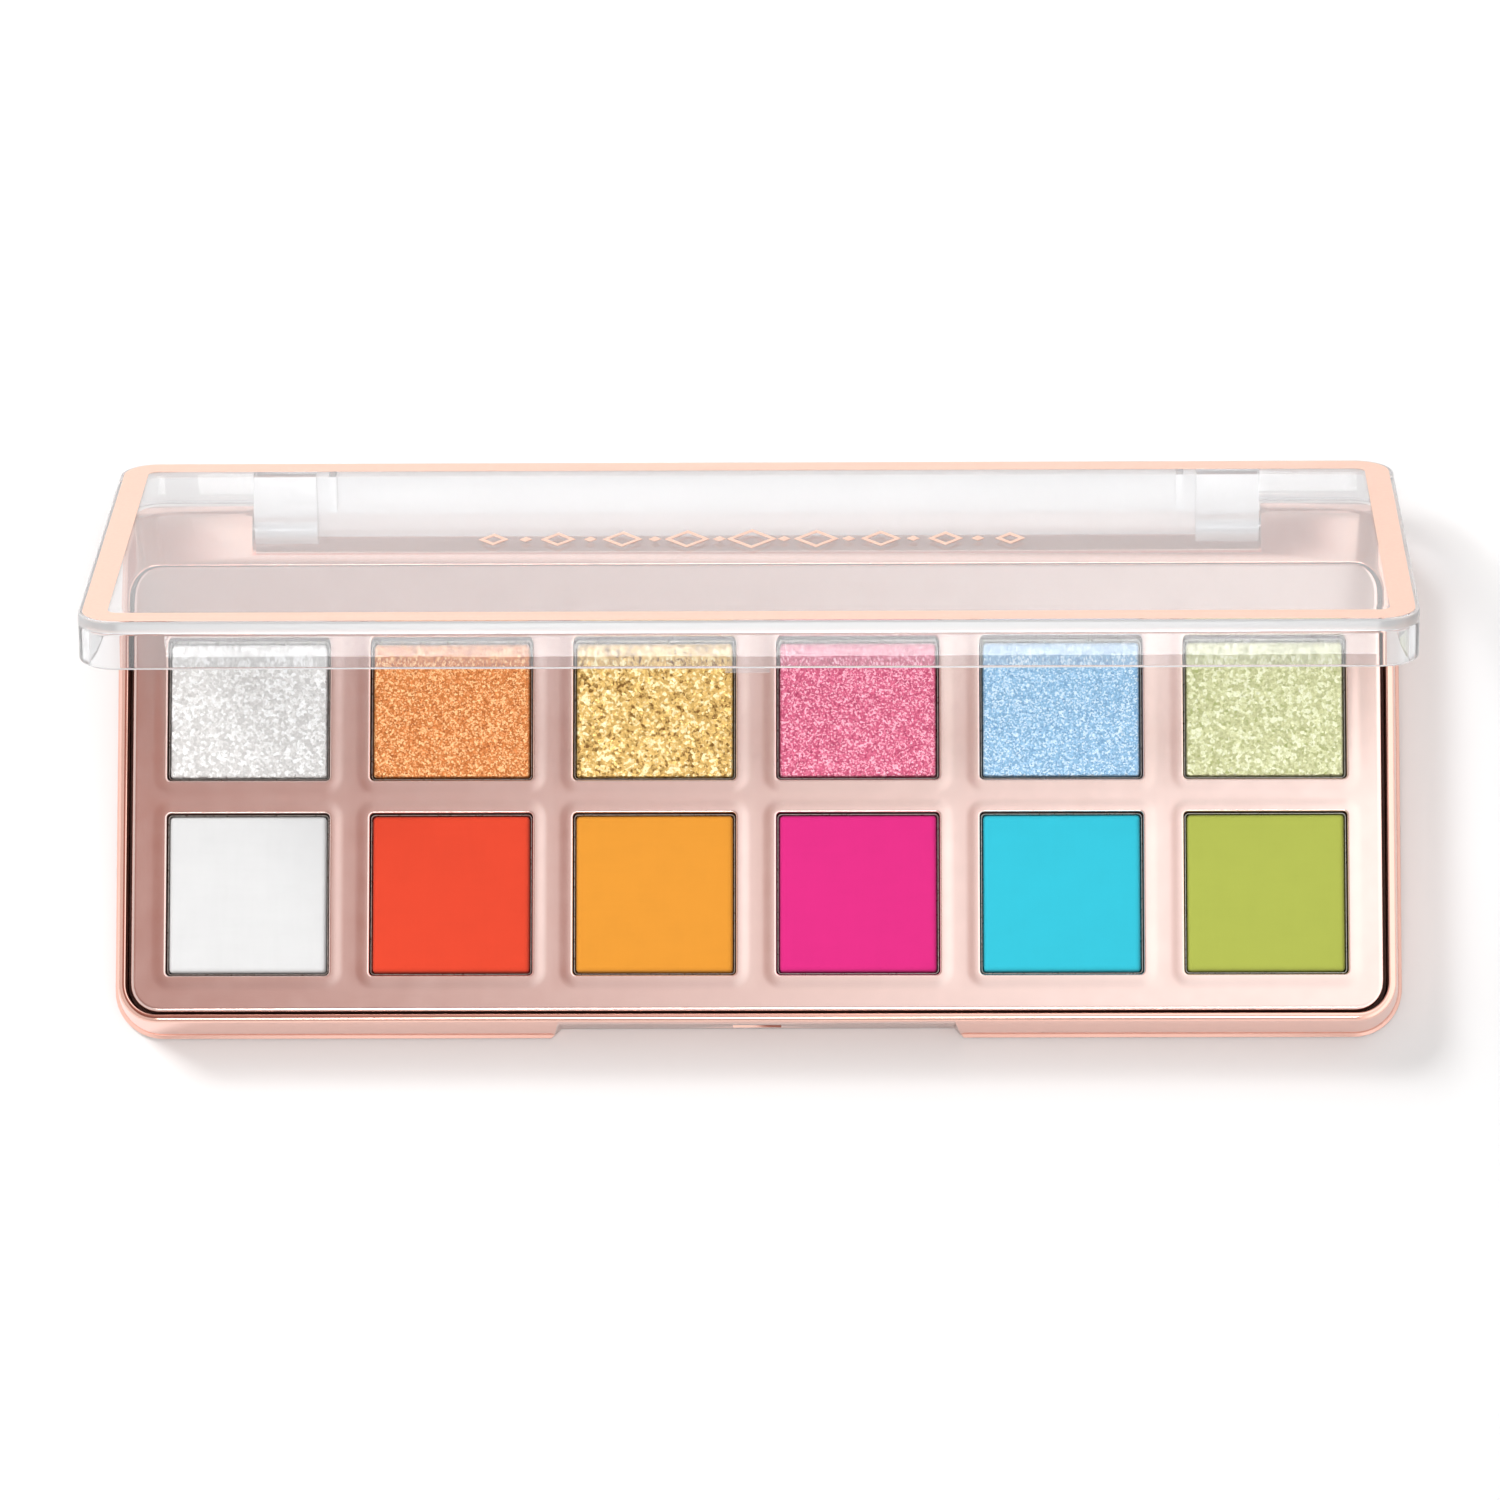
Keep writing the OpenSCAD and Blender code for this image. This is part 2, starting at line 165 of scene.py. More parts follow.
class PaletteLid(bpy.types.PropertyGroup):
    """Sizes and colours of the clear lid."""
    wall: length("Wall", "Thickness of the lid's walls", 1.2 * MM)
    plate: length("Plate", "Thickness of the lid's plate", 1.3 * MM)
    edge_round: length("Edge round", "Round along the plate's outer edge", 0.25 * MM)
    inner_round: length("Inner round", "Round where the walls meet the plate", 0.6 * MM)
    foot_round: length("Foot round", "Round along the outside of the walls' lower edge", 0.4 * MM)
    lug_x: length("Lug place", "From the middle to the middle of a lug", 55 * MM)
    lug_width: length("Lug width", "Width of a lug", 7.3 * MM)
    lug_radius: length("Lug radius", "Radius of a lug's round end", 2 * MM)
    bore: length("Bore", "Radius of a lug's bore", 0.8 * MM)
    curtain: length("Curtain drop", "How far the curtain hangs below the pins", 1.6 * MM)
    rib: length("Rib", "Thickness of the rib beside each lug", 0.9 * MM)
    rib_gap: length("Rib gap", "From a lug to its rib", 1.5 * MM)
    tab: length("Tab", "Width of the snap tab", 5 * MM)
    tab_thickness: length("Tab thickness", "Thickness of the snap tab", 0.16 * MM)
    tab_drop: length("Tab drop", "How far the snap tab hangs below the parting line", 0.7 * MM)
    tint: colour("Tint", "Tint of the clear plastic", (0.86, 0.862, 0.868))
    haze: number("Haze", "Share of light that each surface scatters", 0.07)
    edge_haze: number("Edge haze", "Share of light that the plate's edge scatters", 0.4)
    print_colour: colour("Print", "Colour of the printed lines", linear(232, 191, 172))


class PaletteStage(bpy.types.PropertyGroup):
    """Camera and lights."""
    distance: length("Distance", "From the camera to the middle of the tray's top", 0.936)
    lens: number("Lens", "Focal length in millimetres", 193)
    tilt: number("Tilt", "Lean of the view from straight above, in degrees", 7)
    aside: length("Aside", "How far the camera stands to the right", 0.0184)
    key: number("Key", "Power of the key light", 17)
    fill: number("Fill", "Power of the overhead fill light", 10.5)
    front: number("Front", "Power of the front light", 4.4)
    card: number("Card", "Brightness of the overhead card", 0.96)
    world: number("World", "Brightness of the surroundings", 0.35)
    mirror_left: number("Mirrored left", "Brightness mirrored from the left", 0.8)
    mirror_front: number("Mirrored ahead", "Brightness mirrored from ahead", 0.6)
    mirror_right: number("Mirrored right", "Brightness mirrored from the right", 1.6)
    floor_colour: colour("Floor", "Colour of the floor", (0.72, 0.72, 0.72))


GROUPS = {
    "palette_case": PaletteCase,
    "palette_powders": PalettePowders,
    "palette_lid": PaletteLid,
    "palette_stage": PaletteStage,
}


# ---------------------------------------------------------------- mesh helpers

def rounded_path(points, radii, steps=5):
    """A path of straight stretches whose inner corners are turned into arcs of the given radii."""
    path = [Vector(points[0])]
    for before, corner, after, radius in zip(points, points[1:], points[2:], radii):
        before, corner, after = Vector(before), Vector(corner), Vector(after)
        back, ahead = (before - corner).normalized(), (after - corner).normalized()
        half = back.angle(ahead) / 2
        reach = radius / math.tan(half)
        centre = corner + (back + ahead).normalized() * (radius / math.sin(half))
        start, end = corner + back * reach - centre, corner + ahead * reach - centre
        turn = start.angle(end)
        for step in range(steps + 1):
            share = step / steps
            arm = (start * math.sin((1 - share) * turn) + end * math.sin(share * turn)) / math.sin(turn)
            path.append(centre + arm)
    path.append(Vector(points[-1]))
    return path


def ring(low_x, low_y, high_x, high_y, radius, z, steps=10, holds=(0.4 * MM,)):
    """Points round a rectangle with round corners. The holds keep its sides straight in shading."""
    radius = max(radius, 1e-7)
    corners = (
        (high_x - radius, low_y + radius, -90), (high_x - radius, high_y - radius, 0),
        (low_x + radius, high_y - radius, 90), (low_x + radius, low_y + radius, 180),
    )
    points = []
    for x, y, start in corners:
        first = Vector((math.cos(math.radians(start)), math.sin(math.radians(start)), 0))
        along = Vector((-first.y, first.x, 0))
        centre = Vector((x, y, z))
        points += [centre + first * radius - along * hold for hold in reversed(holds)]
        for step in range(steps + 1):
            angle = math.radians(90 * step / steps)
            points.append(centre + (first * math.cos(angle) + along * math.sin(angle)) * radius)
        points += [centre + along * radius - first * hold for hold in holds]
    return points


def bridge(build, lower, upper):
    """Faces between two closed loops of as many vertices."""
    for index in range(len(lower)):
        following = (index + 1) % len(lower)
        build.faces.new((lower[index], lower[following], upper[following], upper[index]))


def fill_grid(build, grid):
    """Faces between the rows of a grid of vertices."""
    for lower, upper in zip(grid, grid[1:]):
        for index in range(len(lower) - 1):
            build.faces.new((lower[index], lower[index + 1], upper[index + 1], upper[index]))


def loft(build, rings, cap_last=True):
    """Joins rings of equal length into a skin with a face over the first ring and over the last."""
    loops = [[build.verts.new(point) for point in points] for points in rings]
    for lower, upper in zip(loops, loops[1:]):
        bridge(build, lower, upper)
    build.faces.new(list(reversed(loops[0])))
    if cap_last:
        build.faces.new(loops[-1])


def finish_mesh(build, name, smooth=40):
    """Turns a bmesh into an object whose edges sharper than the angle stay crisp."""
    bmesh.ops.remove_doubles(build, verts=build.verts, dist=1e-6)
    bmesh.ops.dissolve_degenerate(build, edges=build.edges, dist=1e-7)
    bmesh.ops.recalc_face_normals(build, faces=build.faces)
    mesh = bpy.data.meshes.new(name)
    build.to_mesh(mesh)
    build.free()
    piece = bpy.data.objects.new(name, mesh)
    bpy.context.scene.collection.objects.link(piece)
    shade(piece, smooth)
    return piece


def shade(piece, smooth=40):
    """Smooth shading with crisp edges above the angle."""
    piece.data.polygons.foreach_set("use_smooth", [True] * len(piece.data.polygons))
    piece.data.set_sharp_from_angle(angle=math.radians(smooth))


def apply_modifiers(piece):
    """Bakes a piece's modifiers into its mesh."""
    evaluated = piece.evaluated_get(bpy.context.evaluated_depsgraph_get())
    baked = bpy.data.meshes.new_from_object(evaluated)
    piece.modifiers.clear()
    spare = piece.data
    piece.data = baked
    bpy.data.meshes.remove(spare)


def combine(piece, tools, operation):
    """Cuts the tools from a piece or joins them to it, and removes them."""
    for tool in tools:
        modifier = piece.modifiers.new("combine", "BOOLEAN")
        modifier.operation = operation
        modifier.solver = "EXACT"
        modifier.object = tool
    apply_modifiers(piece)
    for tool in tools:
        spare = tool.data
        bpy.data.objects.remove(tool)
        bpy.data.meshes.remove(spare)


def soften(piece, width):
    """Rounds a piece's sharp edges a little, as moulding does."""
    modifier = piece.modifiers.new("soften", "BEVEL")
    modifier.width = width
    modifier.segments = 2
    modifier.limit_method = "ANGLE"
    modifier.angle_limit = math.radians(50)
    modifier.use_clamp_overlap = True
    apply_modifiers(piece)


def extruded(name, outline, low_x, high_x):
    """A prism along X. Its outline is given from the pin axis: backwards, then upwards."""
    build = bmesh.new()
    loft(build, [[Vector((x, PIN.y + back, PIN.z + up)) for back, up in outline] for x in (low_x, high_x)])
    return finish_mesh(build, name)


def arc(radius, start, end, steps=24):
    """Points on an arc about the pin axis, in degrees from straight back, anticlockwise."""
    angles = [math.radians(start + (end - start) * step / steps) for step in range(steps + 1)]
    return [(radius * math.cos(angle), radius * math.sin(angle)) for angle in angles]


def block(name, low, high):
    """A plain box for cutting and joining."""
    corners = ((low[0], low[1]), (high[0], low[1]), (high[0], high[1]), (low[0], high[1]))
    build = bmesh.new()
    loft(build, [[Vector((x, y, z)) for x, y in corners] for z in (low[2], high[2])])
    return finish_mesh(build, name)


def place(piece, body, slot, *nodes):
    """Rides a piece on its body and hides the CAD nodes that it stands for."""
    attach(piece, body)
    if nodes:
        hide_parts(*nodes)


# ---------------------------------------------------------------- materials

def add(tree, kind, inputs=None, **settings):
    """Adds a node, sets its options, and fills its inputs with values or links."""
    new = tree.nodes.new(kind)
    for key, value in settings.items():
        setattr(new, key, value)
    for key, value in (inputs or {}).items():
        if isinstance(value, bpy.types.NodeSocket):
            tree.links.new(value, new.inputs[key])
        else:
            new.inputs[key].default_value = value
    return new


def new_material(name):
    """An empty node material, with its tree."""
    material = bpy.data.materials.new(name)
    material.use_nodes = True
    material.node_tree.nodes.clear()
    return material, material.node_tree


def surfaced(material, shader):
    """Sends a shader to its material's output, and returns the material."""
    add(material.node_tree, "ShaderNodeOutputMaterial", {"Surface": shader.outputs[0]})
    return material


def principled(material, inputs):
    """Gives a material one Principled shader, and returns the material."""
    return surfaced(material, add(material.node_tree, "ShaderNodeBsdfPrincipled", inputs))


def shaded(rgb, factor):
    """A lighter or darker colour, kept within range."""
    return tuple(min(1.0, max(0.0, value * factor)) for value in rgb)


def ramp(tree, source, stops):
    """A colour ramp over a factor, given as places and colours."""
    new = add(tree, "ShaderNodeValToRGB", {"Fac": source})
    elements = new.color_ramp.elements
    while len(elements) < len(stops):
        elements.new(0.5)
    for element, (place_at, rgb) in zip(elements, stops):
        element.position = place_at
        element.color = (*rgb, 1.0)
    return new.outputs["Color"]


def grey(value):
    """A grey as a colour."""
    return (value, value, value)


def coordinates(tree, stretch=(1, 1, 1)):
    """Object coordinates, scaled along each axis."""
    source = add(tree, "ShaderNodeTexCoord")
    return add(tree, "ShaderNodeMapping", {
        "Vector": source.outputs["Object"], "Scale": stretch,
    }).outputs["Vector"]


def noise_field(tree, scale, detail, stretch=(1, 1, 1)):
    """A noise value that varies over about one divided by scale metres."""
    return add(tree, "ShaderNodeTexNoise", {
        "Vector": coordinates(tree, stretch), "Scale": scale, "Detail": detail,
    }).outputs["Fac"]


def bump(tree, height, distance, strength=1.0):
    """A bump normal of a real height."""
    return add(tree, "ShaderNodeBump", {
        "Height": height, "Distance": distance, "Strength": strength,
    }).outputs["Normal"]


def metallised(name, rgb, roughness, wave):
    """Vacuum-metallised plastic: a bright tinted mirror with slight moulding waves."""
    material, tree = new_material(name)
    waves = noise_field(tree, 60, 0)
    blotches = noise_field(tree, 300, 2)
    haze = ramp(tree, blotches, [(0.3, grey(roughness * 0.92)), (0.75, grey(roughness * 1.08))])
    tone = ramp(tree, noise_field(tree, 500, 1), [(0.25, shaded(rgb, 0.985)), (0.8, shaded(rgb, 1.01))])
    return principled(material, {
        "Base Color": tone, "Metallic": 1.0, "Roughness": haze, "Normal": bump(tree, waves, wave),
        "Coat Weight": 0.15, "Coat Roughness": 0.03,
    })


def tinplate():
    """Thin stamped metal with fine drawing marks."""
    material, tree = new_material("tinplate")
    marks = noise_field(tree, 2500, 4, (1, 1, 0.15))
    return principled(material, {
        "Base Color": ramp(tree, marks, [(0.2, linear(176, 170, 164)), (0.8, linear(226, 222, 217))]),
        "Metallic": 1.0, "Roughness": ramp(tree, marks, [(0.2, grey(0.22)), (0.8, grey(0.4))]),
        "Normal": bump(tree, marks, 0.00001),
    })


def vector_math(tree, operation, inputs):
    """The result of one step of vector arithmetic."""
    return add(tree, "ShaderNodeVectorMath", inputs, operation=operation).outputs[0]


def maths(tree, operation, first, second):
    """The result of one step of arithmetic on two values."""
    return add(tree, "ShaderNodeMath", {0: first, 1: second}, operation=operation).outputs[0]


def spread(tree, value, low, high, to_low=0.0, to_high=1.0):
    """A value's range laid onto another range, held at both ends."""
    return add(tree, "ShaderNodeMapRange", {
        "Value": value, "From Min": low, "From Max": high, "To Min": to_low, "To Max": to_high,
    }).outputs[0]


# How strongly a shimmer's flakes lean away from the powder's surface
FLAKE_TILT = 0.55


def shimmer(name, rgb, light, dark, flake, metal, pits):
    """Pressed shimmer: facets of many tones, each tilted its own way, over a grainy body."""
    material, tree = new_material(name)
    cells = add(tree, "ShaderNodeTexVoronoi", {"Vector": coordinates(tree), "Scale": 1 / flake})
    fine = add(tree, "ShaderNodeTexVoronoi", {"Vector": coordinates(tree), "Scale": 2.1 / flake})
    parts = add(tree, "ShaderNodeSeparateColor", {"Color": cells.outputs["Color"]})
    fine_parts = add(tree, "ShaderNodeSeparateColor", {"Color": fine.outputs["Color"]})
    blend = add(tree, "ShaderNodeMix", {
        "Factor": 0.3, "A": parts.outputs[0], "B": fine_parts.outputs[0],
    })
    clouds = noise_field(tree, 700, 5)
    tone = spread(tree, clouds, 0.35, 0.65, -pits, 0.4 * pits)
    body = ramp(tree, maths(tree, "ADD", blend.outputs[0], tone), [
        (0.0, dark), (0.22, shaded(rgb, 0.78)), (0.55, rgb), (0.8, light),
    ])
    geometry = add(tree, "ShaderNodeNewGeometry")
    tilt = vector_math(tree, "SUBTRACT", {0: cells.outputs["Color"], 1: grey(0.5)})
    fine_tilt = vector_math(tree, "SUBTRACT", {0: fine.outputs["Color"], 1: grey(0.5)})
    both = vector_math(tree, "ADD", {0: tilt, 1: fine_tilt})
    leaning = vector_math(tree, "SCALE", {0: both, "Scale": FLAKE_TILT})
    summed = vector_math(tree, "ADD", {0: geometry.outputs["Normal"], 1: leaning})
    facing = vector_math(tree, "NORMALIZE", {0: summed})
    return principled(material, {
        "Base Color": body, "Metallic": metal, "Roughness": 0.3, "Normal": facing,
        "Specular IOR Level": 0.8,
    })


def matte_powder(name, rgb):
    """Pressed matte powder: an even body with a faint pressed weave and soft mottling."""
    material, tree = new_material(name)
    across = noise_field(tree, 1500, 3, (1, 0.12, 1))
    along = noise_field(tree, 1500, 3, (0.12, 1, 1))
    weave = maths(tree, "MULTIPLY", maths(tree, "ADD", across, along), 0.5)
    mottle = noise_field(tree, 330, 5)
    level = maths(tree, "MULTIPLY", maths(tree, "ADD", weave, mottle), 0.5)
    body = ramp(tree, level, [(0.3, shaded(rgb, 0.97)), (0.5, rgb), (0.7, shaded(rgb, 1.02))])
    return principled(material, {
        "Base Color": body, "Roughness": 0.92, "Normal": bump(tree, weave, 0.00004, 0.5),
        "Specular IOR Level": 0.25, "Sheen Weight": 0.08, "Sheen Roughness": 0.6,
    })


def clear_plastic(name, rgb, haze, roughness=0.0):
    """Clear plastic, polished or frosted. Lamps shine through it, because a thin lid hardly dims them."""
    material, tree = new_material(name)
    flow = noise_field(tree, 45, 1)
    glass = add(tree, "ShaderNodeBsdfPrincipled", {
        "Base Color": (*rgb, 1.0), "Roughness": roughness, "IOR": 1.49, "Transmission Weight": 1.0 - haze,
        "Normal": bump(tree, flow, 0.00002, 0.5), "Specular IOR Level": 0.5,
    })
    shadow = add(tree, "ShaderNodeBsdfTransparent", {"Color": (0.93, 0.94, 0.95, 1)})
    rays = add(tree, "ShaderNodeLightPath")
    mixed = add(tree, "ShaderNodeMixShader", {
        0: rays.outputs["Is Shadow Ray"], 1: glass.outputs[0], 2: shadow.outputs[0],
    })
    return surfaced(material, mixed)


def ink(rgb):
    """Satin screen-printed ink."""
    material, tree = new_material("peach_print")
    grain = noise_field(tree, 2600, 4)
    return principled(material, {
        "Base Color": ramp(tree, grain, [(0.3, shaded(rgb, 0.97)), (0.7, shaded(rgb, 1.03))]),
        "Roughness": 0.45, "Normal": bump(tree, grain, 0.000006),
    })


def plain_finish(name, low, high, scale, roughness, metal=0.0, stretch=(1, 1, 1)):
    """A quiet finish for what hardly shows: two tones of grain with a slight bump."""
    material, tree = new_material(name)
    grain = noise_field(tree, scale, 4, stretch)
    return principled(material, {
        "Base Color": ramp(tree, grain, [(0.3, low), (0.7, high)]), "Metallic": metal,
        "Roughness": roughness, "Normal": bump(tree, grain, 0.00001),
    })


def dress(name, material):
    """Gives a CAD node that stays on show its material."""
    mesh = frame["nodes"][name].data
    mesh.materials.clear()
    mesh.materials.append(material)


# ---------------------------------------------------------------- tray

# Far enough behind the pins for a cutter to leave the tray open at the back
PAST_BACK = 6 * MM


def trough_radius(case):
    """Radius of the hinge trough: the lid's back corner and its swing gap."""
    return math.hypot(CASE_BACK - PIN.y, TRAY_TOP - PIN.z) + case.swing


def tray_rings(case):
    """Rings from under the foot, up the flared wall, over the rim and down to the tray's floor."""
    reach = 3 * MM
    cavity_back = DECK_HIGH.y + DECK_GAP
    # Rounds: the foot's lower edge, below and above its bead, both edges of the rim, the floor
    path = rounded_path(
        [(FOOT_FLARE - reach, 0), (FOOT_FLARE, 0), (FOOT_FLARE, case.foot),
            (FOOT_FLARE - case.bead, case.foot + case.bead), (0, TRAY_TOP), (-case.rim, TRAY_TOP),
            (-case.rim, case.floor), (-reach, case.floor)],
        [0.35 * MM, 0.1 * MM, 0.2 * MM, case.rim_round, case.inner_round, case.inner_round])
    rings = []
    for out, z in path:
        inner = out < -case.rim / 2 and z > case.foot
        back = cavity_back + out + case.rim if inner else CASE_BACK + min(out, 0)
        if z <= 0 or (z <= case.floor and not inner):
            back = CASE_BACK + min(out - FOOT_FLARE, 0)
        half, front = CASE_HALF + out, CASE_FRONT - out
        rings.append(ring(-half, front, half, back, case.corner + out, z, 14))
    return rings


def sweep_outline(case):
    """What the lid's back wall sweeps beside the trough: behind the pins, outside the barrel."""
    radius, high = trough_radius(case), TRAY_TOP - PIN.z + MM
    barrel = CASE_BACK - PIN.y
    top_angle = math.asin((TRAY_TOP - PIN.z) / barrel)
    start = barrel * math.cos(top_angle)
    curve = arc(barrel, -90, math.degrees(top_angle))
    return [(0, -radius), (PAST_BACK, -radius), (PAST_BACK, high), (start, high)] + curve[::-1]


def trough_outline(case):
    """The hinge trough's section: round below the pins, straight up in front, open behind."""
    radius, high = trough_radius(case), TRAY_TOP - PIN.z + MM
    return [(PAST_BACK, -radius), (PAST_BACK, high), (-radius, high)] + arc(radius, 180, 270)


def tray_cutters(case):
    """Everything cut from the tray: trough, lid sweep, thumb notch, pocket and label recess."""
    lid = bpy.context.scene.palette_lid
    trough_half = lid.lug_x + lid.lug_width / 2 + 0.25 * MM
    cutters = [extruded("trough", trough_outline(case), -trough_half, trough_half)]
    for side in (-1, 1):
        ends = sorted((side * (trough_half - 0.5 * MM), side * (CASE_HALF + 5 * MM)))
        cutters.append(extruded("sweep", sweep_outline(case), *ends))
    notch = bmesh.new()
    half, deep = case.notch / 2, FOOT_FLARE + MM
    corners = ((-half, 0), (-half - deep, -deep), (half + deep, -deep), (half, 0))
    loft(notch, [[Vector((x, CASE_FRONT + y, z)) for x, y in corners] for z in (-MM, TRAY_TOP + MM)])
    cutters.append(finish_mesh(notch, "notch"))
    pocket_half, pocket_depth = 2.8 * MM, 0.35 * MM
    pocket_low, pocket_high = 1.5 * MM, 4.7 * MM
    cutters.append(block("pocket", (-pocket_half, CASE_FRONT - MM, pocket_low),
        (pocket_half, CASE_FRONT + pocket_depth, pocket_high)))
    low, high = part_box("base_label")
    margin, corner = 0.4 * MM, 1.9 * MM
    recess = bmesh.new()
    loft(recess, [
        ring(low[0] - margin, low[1] - margin, high[0] + margin, high[1] + margin, corner, z)
        for z in (-MM, high[2])
    ])
    cutters.append(finish_mesh(recess, "recess"))
    return cutters


class PALETTE_OT_tray(bpy.types.Operator):
    """Build the metallised tray with its rim, foot, thumb notch and hinge trough"""
    bl_idname = "palette.tray"
    bl_label = "Tray"

    def execute(self, context):
        case = context.scene.palette_case
        build = bmesh.new()
        loft(build, tray_rings(case))
        tray = finish_mesh(build, "tray")
        combine(tray, tray_cutters(case), "DIFFERENCE")
        soften(tray, case.edge)
        shade(tray)
        tray.data.materials.append(metallised("rose_tray", case.rose, 0.12, 0.00002))
        place(tray, "root", "rose_metallised", "base_shell")
        return {"FINISHED"}


# ---------------------------------------------------------------- deck

def lip_path(case, floor, top):
    """From a well's floor up its wall, over the lip and down the slope to the web."""
    edge = 0.16 * MM
    steps = 7
    path = [(-WELL_GAP - 2 * MM, floor)] + rounded_path(
        [(-WELL_GAP, floor), (0, floor), (0, top), (edge + case.lip, top)], [edge, edge])[1:]
    for step in range(1, steps + 1):
        share = step / steps
        fall = (1 - math.cos(math.pi * share)) / 2
        path.append((edge + case.lip + case.slope * share, top - case.lip_height * fall))
    return path


def well_ring(low, high, out, corner, z):
    """A ring round one opening, grown by out. The opening is the pan's box and its gap."""
    grown = WELL_GAP + out
    return ring(low.x - grown, low.y - grown, high.x + grown, high.y + grown,
        corner + out, z, 8, WELL_HOLDS)


def deck_cell(build, case, low, high, cell):
    """One opening with its lip, out to the edges of its cell."""
    corner = bpy.context.scene.palette_powders.pan_corner
    under_pan = 0.25 * MM
    path = lip_path(case, low.z - under_pan, DECK_HIGH.z)
    rings = [well_ring(low, high, out, corner, z) for out, z in path]
    rings.append(ring(*cell, 0, DECK_HIGH.z - case.lip_height, 8, WELL_HOLDS))
    loft(build, rings, False)


def on_round_corner(x, y, half_x, half_y, radius):
    """Moves a point of a sharp rectangle's edge onto the same rectangle with round corners."""
    over_x, over_y = abs(x) - (half_x - radius), abs(y) - (half_y - radius)
    if over_x > 0 and over_y > 0:
        pull = radius / math.hypot(over_x, over_y)
        over_x, over_y = over_x * pull, over_y * pull
        return (math.copysign(half_x - radius + over_x, x), math.copysign(half_y - radius + over_y, y))
    return (x, y)


def boundary_loop(build):
    """The open edge round the joined cells, in order."""
    edges = [edge for edge in build.edges if edge.is_boundary]
    start = edges[0].verts[0]
    loop, previous, current = [start], None, start
    while True:
        following = next(
            edge.other_vert(current) for edge in current.link_edges
            if edge.is_boundary and edge.other_vert(current) is not previous)
        if following is start:
            return loop
        loop.append(following)
        previous, current = current, following


def deck_border(build, case, centre, cells_half):
    """From the joined cells out to the deck's edge, down to its flange and underneath."""
    loop = boundary_loop(build)
    web = DECK_HIGH.z - case.lip_height
    flange = web - case.groove_depth
    front = CASE_FRONT + case.rim + case.groove
    half = Vector((DECK_HIGH.x + DECK_GAP - case.side_groove, (DECK_HIGH.y - front) / 2))
    middle = (DECK_HIGH.y + front) / 2
    corner = case.corner - case.rim - case.groove
    reach = case.groove - DECK_GAP
    path = rounded_path(
        [(-0.6 * MM, web), (0, web), (0, flange), (reach, flange + 0.5 * MM),
            (reach, DECK_LOW.z), (-2 * MM, DECK_LOW.z)],
        [case.deck_round, 0.05 * MM, 0.05 * MM, 0.05 * MM])
    # The flange reaches further across the wider grooves at the sides
    widening = (case.side_groove - DECK_GAP) / reach
    previous = loop
    for out, z in path:
        out_x = out * widening if out > 0 else out
        # The deck's back edge meets the tray's hinge strip, so nothing sticks out there
        points = []
        for vertex in loop:
            x = (vertex.co.x - centre.x) / cells_half.x * (half.x + out_x)
            y = (vertex.co.y - centre.y) / cells_half.y * (half.y + out)
            x, y = on_round_corner(x, y, half.x + out_x, half.y + out, max(corner + out, 0.2 * MM))
            points.append(build.verts.new((x, min(middle + y, DECK_HIGH.y + min(out, 0)), z)))
        bridge(build, previous, points)
        previous = points
    build.faces.new(previous)


class PALETTE_OT_deck(bpy.types.Operator):
    """Build the metallised deck with a raised lip round each opening"""
    bl_idname = "palette.deck"
    bl_label = "Deck"

    def execute(self, context):
        case = context.scene.palette_case
        boxes = {(row, column): [Vector(corner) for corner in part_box(f"pan_{row}_{column}")]
            for row in ROWS for column in COLUMNS}
        middles = {key: (low + high) / 2 for key, (low, high) in boxes.items()}
        first, second, below = middles["top", 1], middles["top", 2], middles["bottom", 1]
        pitch = Vector((second.x - first.x, first.y - below.y, 0))
        build = bmesh.new()
        for key, (low, high) in boxes.items():
            start, end = middles[key] - pitch / 2, middles[key] + pitch / 2
            deck_cell(build, case, low, high, (start.x, start.y, end.x, end.y))
        bmesh.ops.remove_doubles(build, verts=build.verts, dist=1e-6)
        centre = (below + middles["top", 6]) / 2
        deck_border(build, case, centre, Vector((pitch.x * 3, pitch.y)))
        deck = finish_mesh(build, "deck", 50)
        deck.data.materials.append(metallised("rose_deck", case.deck_rose, 0.24, 0.000004))
        # Painted shade: a dark brown finish on the deck's deep faces, for the shade in the groove round the
        # deck and in the gaps round the pans.
        painted_shade = plain_finish("deck_painted_shade", linear(88, 54, 44), linear(102, 64, 53), 900, 0.45)
        deck.data.materials.append(painted_shade)
        for face in deck.data.polygons:
            face.material_index = int(face.center.z < DECK_HIGH.z - case.shade_depth)
        place(deck, "root", "rose_deck", "pan_deck")
        return {"FINISHED"}


# ---------------------------------------------------------------- pans and powders

def build_pan(name, looks, material):
    """A stamped square pan with a round bottom edge and a thin lip."""
    low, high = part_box(name)
    top = high[2] - looks.sunk
    depth = 4 * MM
    path = rounded_path(
        [(-depth, low[2]), (0, low[2]), (0, top), (-looks.tin, top),
            (-looks.tin, low[2] + looks.tin), (-depth, low[2] + looks.tin)],
        [0.5 * MM, 0.1 * MM, 0.1 * MM, 0.3 * MM])
    build = bmesh.new()
    loft(build, [
        ring(low[0] - out, low[1] - out, high[0] + out, high[1] + out,
            max(looks.pan_corner + out, 0.1 * MM), z, 8)
        for out, z in path
    ])
    pan = finish_mesh(build, name + "_tin")
    pan.data.materials.append(material)
    place(pan, "root", "tinplate", name)


def surface_height(x, y, coarse, fine, seed):
    """Height of a pressed surface: slow unevenness and grain, the same on every run."""
    slow = noise.noise(Vector((x / (1.9 * MM), y / (1.9 * MM), seed)))
    grain = noise.turbulence(Vector((x / (0.7 * MM), y / (0.7 * MM), seed + 40)), 4, False)
    return coarse * slow + fine * (grain - 0.6)


